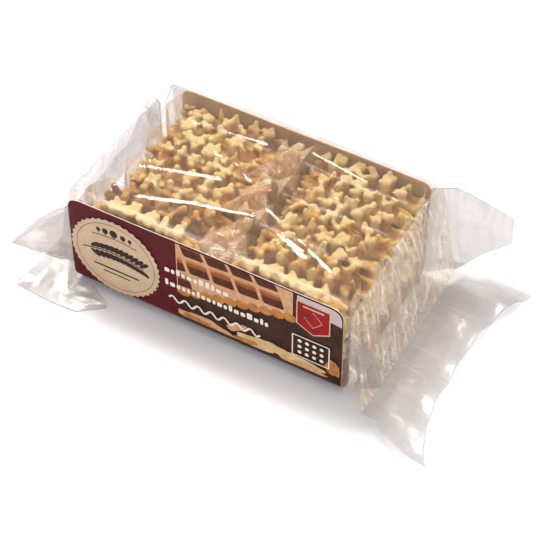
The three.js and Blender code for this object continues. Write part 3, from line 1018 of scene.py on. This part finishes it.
# Gathered film in the gap: fans of fine folds that run down and forward from a pinched point
FANS = (
    {"apex": (11, -17, 73.4), "left": (-21, -50.5, 61), "right": (25, -50.5, 63), "folds": 23},
    {"apex": (5, 13, 74.2), "left": (-12, -16, 68), "right": (21, -15, 69), "folds": 15},
    {"apex": (8, 45, 75.8), "left": (-12, 12, 68.5), "right": (22, 14, 70), "folds": 12},
)
FAN_STEPS = 44
FAN_RAYS = 150

# The flattened crimp of a sachet that lies just under the top film
PATCH_MIDDLE, PATCH_ALONG, PATCH_ACROSS = (4.5, -2, 74.2), (12.5, 11.5), (4.6, -4.6)
PATCH_STEPS = 40
PATCH_RIDGES = 9


def fan_sheet(fan, seed):
    """A pleated sheet that spreads from its apex to its left and right feet"""
    apex, left, right = (np.array(fan[key], float) for key in ("apex", "left", "right"))
    share = np.linspace(0, 1, FAN_STEPS)[:, None]
    across = np.linspace(0, 1, FAN_RAYS)[None, :]
    from_middle = 1 - 2 * across
    edge = noise(points_of(share[:, 0] * 30, 5 * seed, 0), 8, 95)
    wobble = noise(points_of(across[0] * 60, 9 * seed, 0), 7, 97)
    foot = left + (right - left) * across[..., None]
    middle = apex + (foot - apex) * (0.1 + 0.9 * share[..., None])
    middle[..., 0] += 2.5 * edge[:, None] * from_middle ** 2
    turn = across * fan["folds"] * 2 * math.pi
    folds = 0.5 * np.sin(turn + 2.5 * wobble) + 0.3 * np.sin(2.7 * turn + seed)
    crumple = (0.7 * noise(middle.reshape(-1, 3), 6, 98 + seed)).reshape(FAN_STEPS, -1)
    middle[..., 2] += folds * share * 1.1 + crumple - 4.0 * share * (1 - share)
    middle[..., 2] -= 9.0 * np.abs(from_middle) ** 5 * share
    return doubled_sheet(middle, UP)


def crimp_patch():
    """A small flat seal with fine ridges across it and a toothed end"""
    u = np.linspace(-0.5, 0.5, PATCH_STEPS)[:, None]
    v = np.linspace(-0.5, 0.5, PATCH_STEPS)[None, :]
    tooth = 0.06 * np.abs((v * 12) % 1 - 0.5)
    run = u + np.sign(u) * tooth * (np.abs(u) > 0.49)
    x, y = (PATCH_MIDDLE[k] + PATCH_ALONG[k] * run + PATCH_ACROSS[k] * v for k in range(2))
    z = PATCH_MIDDLE[2] + 0.25 * np.sin(TURN * PATCH_RIDGES * v) + 1.2 * v
    return doubled_sheet(points_of(x, y, z), UP)


def gathered_film():
    fans = [fan_sheet(fan, seed) for seed, fan in enumerate(FANS)]
    points, faces = join_parts(fans + [crimp_patch()])
    return make_piece("sachet_film_gathered", points, faces, [gather_skin])


# The card band: front panel, folded base and back panel, printed on its outer side
CARD_COLUMNS = 44
PANEL_STEPS = 14
CORNER_DROPS = 8
CARD_BOW = 0.35
MAROON_EDGE = 69.5
# How far the print stands off the card's front, and the steps of its layers and lifted neighbours
PRINT_OFF, LAYER_STEP, LIFT_STEP = 0.4, 0.02, 0.006


def card_path():
    """Points of the band's outer side as (y, z, normal y, normal z, height below the free edge)"""
    reach, r = CARD_DEPTH / 2, CARD_FOLD_RADIUS
    corner = np.linspace(0, CARD_CORNER_RADIUS, CORNER_DROPS)
    panel = np.linspace(CARD_CORNER_RADIUS, CARD_FRONT - r, PANEL_STEPS)
    path = [(-reach, CARD_FRONT - drop, -1, 0, drop) for drop in (*corner[:-1], *panel)]
    for first, middle, start, drop in ((1, r - reach, math.pi, CARD_FRONT),
                                       (0, reach - r, -math.pi / 2, CARD_BACK)):
        for i in range(first, PANEL_STEPS + 1):
            angle = start + math.pi / 2 * i / PANEL_STEPS
            c, s = math.cos(angle), math.sin(angle)
            path.append((middle + r * c, r + r * s, c, s, drop))
    panel = np.linspace(CARD_BACK - r, CARD_CORNER_RADIUS, PANEL_STEPS)
    corner = np.linspace(CARD_CORNER_RADIUS, 0, CORNER_DROPS)
    return path + [(reach, CARD_BACK - drop, 1, 0, drop) for drop in (*panel[1:], *corner[1:])]


def card_band():
    """The folded card: maroon and umber outside, plain inside, pale at its cut edge"""
    path = card_path()
    share = np.linspace(0, 1, CARD_COLUMNS + 1)
    seam = np.argmin(np.abs(share - MAROON_EDGE / CARD_LENGTH))
    share[seam] = MAROON_EDGE / CARD_LENGTH
    outer, inner = [], []
    for y, z, ny, nz, drop in path:
        rise = CARD_CORNER_RADIUS - min(drop, CARD_CORNER_RADIUS)
        half = CARD_LENGTH / 2 - CARD_CORNER_RADIUS + math.sqrt(CARD_CORNER_RADIUS**2 - rise**2)
        left = CARD_SKEW * (y / CARD_DEPTH + 0.5) - half
        x = mix(left, half, share)
        if y == -CARD_DEPTH / 2:
            x[seam] = MAROON_EDGE - CARD_LENGTH / 2
        row = points_of(x, y, z)
        outer.append(row)
        inner.append(row - np.array([0, ny, nz]) * CARD_THICKNESS)
    points = np.concatenate(outer + inner)
    bow = CARD_BOW * noise(points, (46, 200, 40), 61)
    points[:, 1] += bow * np.where(points[:, 1] < 0, 1, -1) * (points[:, 2] > CARD_FOLD_RADIUS)
    front, back, sides = sheet_faces(len(path), CARD_COLUMNS + 1)
    slots = [0 if f[0] % (CARD_COLUMNS + 1) < seam else 1 for f in front]
    slots += [2] * len(back) + [3] * len(sides)
    skins = [inks[name] for name in ("maroon", "umber", "inside", "edge")]
    return make_piece("card_band", points, front + back + sides, skins, slots)


# The print: fields of colour, in millimetres from the panel's left edge and up from the floor
class Print:
    """Collects flat shapes into one mesh, each layer a hair further out than the one before"""

    def __init__(self):
        self.points, self.faces, self.slots, self.names = [], [], [], []
        self.layer = 0

    def next_layer(self):
        self.layer += 1

    def shape(self, outline, ink, lift=0):
        """lift raises a shape a little more, so that overlapping neighbours don't share a level"""
        base = len(self.points)
        y = -CARD_DEPTH / 2 - PRINT_OFF - LAYER_STEP * self.layer - LIFT_STEP * lift
        self.points += [(s - CARD_LENGTH / 2, y, t) for s, t in outline]
        self.faces.append(list(range(base, base + len(outline))))
        if ink not in self.names:
            self.names.append(ink)
        self.slots.append(self.names.index(ink))

    def stroke(self, path, width, ink):
        """A line of even width along a path"""
        path = np.array(path, float)
        step = np.gradient(path, axis=0)
        step /= np.linalg.norm(step, axis=1)[:, None]
        side = np.stack([-step[:, 1], step[:, 0]], axis=1) * width / 2
        left, right = path + side, path - side
        for k in range(len(path) - 1):
            self.shape([left[k], right[k], right[k + 1], left[k + 1]], ink, k % 2)

    def piece(self):
        skins = [inks[name] for name in self.names]
        return make_piece("card_print", self.points, self.faces, skins, self.slots, shade=False)


def turned(centre, turn, x, y):
    """An outline turned about its middle and put at its centre"""
    c, s = math.cos(turn), math.sin(turn)
    return [(centre[0] + c * a - s * b, centre[1] + s * a + c * b) for a, b in zip(x, y)]


def oval(centre, half_width, half_height, steps=64, scallops=0, depth=0.0, turn=0.0):
    angle = np.linspace(0, TURN, steps, endpoint=False)
    wave = 1 + depth * np.cos(scallops * angle)
    x, y = half_width * wave * np.cos(angle), half_height * wave * np.sin(angle)
    return turned(centre, turn, x, y)


def rounded_box(low, high, radius, steps=5):
    (x0, y0), (x1, y1) = low, high
    corners = [(x1 - radius, y1 - radius), (x0 + radius, y1 - radius),
               (x0 + radius, y0 + radius), (x1 - radius, y0 + radius)]
    outline = []
    for quarter, (x, y) in enumerate(corners):
        for i in range(steps + 1):
            angle = math.pi / 2 * (quarter + i / steps)
            outline.append((x + radius * math.cos(angle), y + radius * math.sin(angle)))
    return outline


def arched(start, end, foot, rise, steps):
    """A line of steps points that bows up between two places on one level"""
    return [(mix(start, end, t), foot + rise * math.sin(math.pi * t))
            for t in np.linspace(0, 1, steps)]


def print_medallion(sheet):
    """A scalloped oval with a plain branch of wheat, five small trees on a hill and two bars"""
    centre, wide, high = (29.5, 35.0), 28.6, 28.4
    sheet.next_layer()
    sheet.shape(oval(centre, wide, high, 240, 40, 0.018), "cream")
    sheet.next_layer()
    ring = oval(centre, wide * 0.89, high * 0.89, 96)
    sheet.stroke(ring + ring[:2], 0.35, "brown")
    sheet.stroke(arched(8, 48, 34.5, 3.5, 18), 0.9, "brown")
    for k in range(11):
        t = 0.16 + 0.08 * k
        x, y = mix(8, 48, t), 34.5 + 3.5 * math.sin(math.pi * t)
        for side in (-1, 1):
            kernel = oval((x + 2.0, y + side * 3.3), 3.7, 1.45, 16, turn=side * 0.62 + 0.05)
            sheet.shape(kernel, "brown", 2 + k % 2 + side * 0.3)
    sheet.stroke(arched(15, 44, 48.5, 1.6, 12), 0.7, "brown")
    for x, size in ((19.5, 1.4), (24, 1.9), (29.5, 2.5), (35.5, 1.8), (40, 1.3)):
        sheet.stroke([(x, 50.4), (x, 52.0)], 0.5, "brown")
        sheet.shape(oval((x, 52.6 + size * 0.6), size, size * 1.15, 20), "brown", 2)
    sheet.shape(rounded_box((14.5, 23.6), (44.5, 24.9), 0.6), "brown")
    sheet.shape(rounded_box((20.5, 20.2), (38.5, 21.2), 0.45), "brown")


# The printed waffle's right edge, and its grid's pitch across, pitch down and ridge width
PICTURE_RIGHT = 141
PICTURE_ACROSS, PICTURE_DOWN, PICTURE_RIDGE = 15.2, 12.4, 2.3


def print_waffle(sheet):
    """A simple waffle with thick ridges and shaded wells, running off the panel's top"""
    top = CARD_FRONT - 0.6

    def lower_edge(s):
        return 46.5 - 17.5 * max(0.0, 1 - (s - MAROON_EDGE) / 73) ** 1.2

    def slant(outline):
        """Leans the grid as the pictured waffle leans, and keeps it on the panel"""
        leaned = [(s + 0.3 * (top - t), t + 0.07 * (s - MAROON_EDGE)) for s, t in outline]
        return [(max(s, MAROON_EDGE + 0.6), min(t, top)) for s, t in leaned]

    sheet.next_layer()
    edge = np.linspace(MAROON_EDGE, PICTURE_RIGHT + 1, 25)
    for a, b in zip(edge, edge[1:]):
        sheet.shape([(a, top), (a, lower_edge(a)), (b, lower_edge(b)), (b, top)], "ridges")
    for k, s in enumerate(np.arange(MAROON_EDGE + 4, PICTURE_RIGHT, 7.4)):
        sheet.shape(oval((s, lower_edge(s) + 0.6), 4.1, 3.3, 20), "gold", 1 + k % 2)
    for layer, (share, ink) in enumerate(((1.0, "deep"), (0.42, "wells"), (0.16, "gold"))):
        sheet.next_layer()
        wide, deep = PICTURE_ACROSS - PICTURE_RIDGE, PICTURE_DOWN - PICTURE_RIDGE
        tall = deep * share
        for i in range(-1, 5):
            for j in range(3):
                s0 = MAROON_EDGE + 2.6 + i * PICTURE_ACROSS
                t1 = top + 2.4 - j * PICTURE_DOWN - 0.07 * PICTURE_ACROSS * max(i, 0) * 0.4
                cell = slant(rounded_box((s0, t1 - tall), (s0 + wide, t1), min(1.4, tall * 0.4)))
                across, down = zip(*cell)
                foot = min(down) if layer == 0 else min(down) - deep * (1 - share)
                narrow = max(across) - min(across) < 3 or max(down) - min(down) <= 0.8
                beyond = max(across) > PICTURE_RIGHT or foot < lower_edge(max(across)) + 0.8
                if not narrow and not beyond:
                    sheet.shape(cell, ink)


def print_crumb(sheet, centre, wide, high, turn, ink, seed):
    """One uneven rounded piece, kept on the panel"""
    angle = np.linspace(0, TURN, 72, endpoint=False)
    phases = np.random.default_rng(seed).uniform(0, TURN, 3)
    swell = 1 + 0.09 * np.sin(3 * angle + phases[0]) + 0.07 * np.sin(5 * angle + phases[1])
    swell = swell + 0.05 * np.sin(9 * angle + phases[2])
    points = turned(centre, turn, wide * swell * np.cos(angle), high * swell * np.sin(angle))
    right = CARD_LENGTH - 0.8
    sheet.shape([(min(max(p, MAROON_EDGE), right), min(max(q, CARD_FOLD_RADIUS), CARD_FRONT - 1))
                 for p, q in points], ink)


# Broken waffle pieces along the foot of the panel: place, half sizes, turn and ink
CRUMBS = (
    ((88, 11.5), 19, 4.2, -0.1, "ridges"), ((83, 11.2), 11, 2.2, -0.12, "gold"),
    ((122, 14.5), 15, 4.6, 0.12, "butter"), ((113, 12.0), 8, 2.0, 0.1, "gold"),
    ((146, 13.0), 17, 4.8, -0.08, "butter"), ((152, 12.0), 11, 2.4, -0.05, "ridges"),
    ((167, 20), 4.6, 6.0, 0.2, "gold"), ((107, 20), 7, 2.8, 0.5, "ridges"),
)


def print_crumbs(sheet):
    for seed, crumb in enumerate(CRUMBS):
        sheet.next_layer()
        print_crumb(sheet, *crumb, seed + 1)


def print_badges(sheet):
    """A grey corner, a red shield with a diamond and a box of dots, at the panel's right"""
    sheet.next_layer()
    corner = [(144.6, 63.3), (163.8, 63.7), (164.2, 57.2), (171.6, 56.2), (171.6, 61.3)]
    reach = CARD_CORNER_RADIUS - 0.5
    for i in range(6):
        angle = math.pi / 2 * i / 5
        corner.append((165.0 + reach * math.cos(angle), 61.4 + reach * math.sin(angle)))
    sheet.shape(corner + [(144.6, 67.9)], "grey")
    for left, right, top, side, tip, ink in ((144.2, 164.8, 64.1, 45.6, 40.2, "cream"),
                                             (144.9, 164.1, 63.4, 46.1, 41.0, "red")):
        sheet.next_layer()
        sheet.shape([(left, top), (left, side), (154.6, tip), (right, side), (right, top)], ink)
    sheet.next_layer()
    diamond = [(154.5, 58.6), (149.0, 52.6), (154.5, 46.6), (160.0, 52.6)]
    sheet.stroke(diamond + diamond[:2], 0.5, "cream")
    sheet.shape(rounded_box((148.0, 60.3), (161.0, 61.5), 0.55), "cream")
    box = [(142.2, 35.4), (142.2, 18.6), (164.6, 18.6), (164.6, 35.4), (142.2, 35.4)]
    for a, b in zip(box, box[1:]):
        sheet.stroke([a, b], 0.7, "offwhite")
    for i in range(4):
        for j in range(3):
            sheet.shape(oval((146.6 + 4.5 * i, 22.4 + 4.6 * j), 1.25, 1.25, 18), "offwhite")


def print_marks(sheet):
    """Plain off-white blocks in two rows and a wavy line, in the place of the pack's words"""
    sheet.next_layer()
    draw = np.random.default_rng(77)
    for start, end, foot in ((62.0, 102.0, 42.4), (62.0, 128.0, 31.6)):
        s = start
        while s < end - 2:
            wide = draw.uniform(1.7, 3.4)
            tall = (3.2, 3.2, 4.8)[draw.integers(0, 3)]
            sheet.shape(rounded_box((s, foot), (s + wide, foot + tall), 0.8), "offwhite")
            s += wide + 1.1
    wave = [(mix(64.0, 122.0, t), 21.8 + 1.9 * math.sin(TURN * 7.0 * t))
            for t in np.linspace(0, 1, 160)]
    sheet.stroke(wave, 1.3, "offwhite")


def card_print():
    sheet = Print()
    for part in (print_waffle, print_crumbs, print_medallion, print_badges, print_marks):
        part(sheet)
    return sheet.piece()


# Camera, floor and light
AZIMUTH = 29.34 * DEG
ELEVATION = 47.92 * DEG
CAMERA_DISTANCE = 1083.8
FOCAL_PIXELS = 1900.0
FRAME_PIXELS = 540.0
LOOK_AT = (12.65, 0.0, 11.62)
FLOOR_HALF = 3.0
WORLD_STRENGTH = 0.77
WARM = (1.0, 0.98, 0.95)

# Square soft lights: name, place and target in pack millimetres, size, power and colour
LIGHTS = (
    ("key_crisp", (-467, 208, 916), (0, 0, 30), (0.14, 0.14), 1.8, WARM),
    ("key_soft", (-300, 290, 980), (0, 0, 30), (0.36, 0.36), 12.3, WARM),
    ("key_glint", (-230, 20, 1040), (0, 0, 30), (0.4, 0.4), 15.0, WARM),
    ("fill_camera_side", (700, -900, 700), (0, 0, 30), (1.0, 1.0), 3.5, (1, 1, 1)),
    ("strip_right", (900, -100, 520), (60, 0, 40), (0.15, 0.8), 2.5, (1, 1, 1)),
)


def pack_point(x, y, z):
    return Vector((np.array([x, y, z]) * MM + ORIGIN).tolist())


def add_camera():
    data = bpy.data.cameras.new("camera")
    data.sensor_width = 36
    data.lens = FOCAL_PIXELS * data.sensor_width / FRAME_PIXELS
    data.clip_end = 10
    camera = add_object("camera", data)
    toward = Vector((math.sin(AZIMUTH) * math.cos(ELEVATION),
                     -math.cos(AZIMUTH) * math.cos(ELEVATION), math.sin(ELEVATION)))
    camera.location = pack_point(*LOOK_AT) + toward * CAMERA_DISTANCE * MM
    camera.rotation_euler = toward.to_track_quat("Z", "Y").to_euler()
    scene.camera = camera


def add_light(name, place, target, size, power, colour):
    data = bpy.data.lights.new(name, "AREA")
    data.shape = "RECTANGLE"
    data.size, data.size_y = size
    data.energy = power
    data.color = colour
    light = add_object(name, data)
    light.location = pack_point(*place)
    aim = light.location - pack_point(*target)
    light.rotation_euler = aim.to_track_quat("Z", "Y").to_euler()
    return light


def add_floor():
    mesh = bpy.data.meshes.new("floor")
    corners = [(x * FLOOR_HALF, y * FLOOR_HALF, float(ORIGIN[2]))
               for x, y in ((-1, -1), (1, -1), (1, 1), (-1, 1))]
    mesh.from_pydata(corners, [], [(0, 1, 2, 3)])
    mesh.materials.append(floor_material())
    floor = add_object("floor", mesh)


def studio_world():
    n = Nodes("studio", world=True)
    sky = n.add("ShaderNodeTexCoord").outputs["Generated"]
    height = n.add("ShaderNodeSeparateXYZ", {0: sky}).outputs["Z"]
    colour = n.ramp(height, [(0.1, (0.3, 0.27, 0.28, 1)), (0.6, (0.93, 0.92, 0.95, 1))])
    return n.finish(n.add("ShaderNodeBackground", {"Color": colour, "Strength": WORLD_STRENGTH}))


def add_studio():
    add_floor()
    scene.world = studio_world()
    lights = {look[0]: add_light(*look) for look in LIGHTS}
    # the soft light casts no glare on the film, and the glint light does nothing else
    lights["key_soft"].visible_glossy = False
    lights["key_glint"].visible_diffuse = False
    scene.view_settings.view_transform = "Standard"
    scene.cycles.use_denoising = True
    scene.cycles.transparent_max_bounces = 64
    scene.cycles.max_bounces = 16


def own(piece, solid):
    """Rides the piece on the one body and hides the solid it stands for"""
    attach(piece, "root")
    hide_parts(solid)


add_camera()
add_studio()
for build in (film_bag, film_ears, sachets, gathered_film):
    own(build(), "film_bag")
for row_number in range(ROWS):
    own(waffle_row(row_number), "film_bag")
for build in (card_band, card_print):
    own(build(), "label_band")
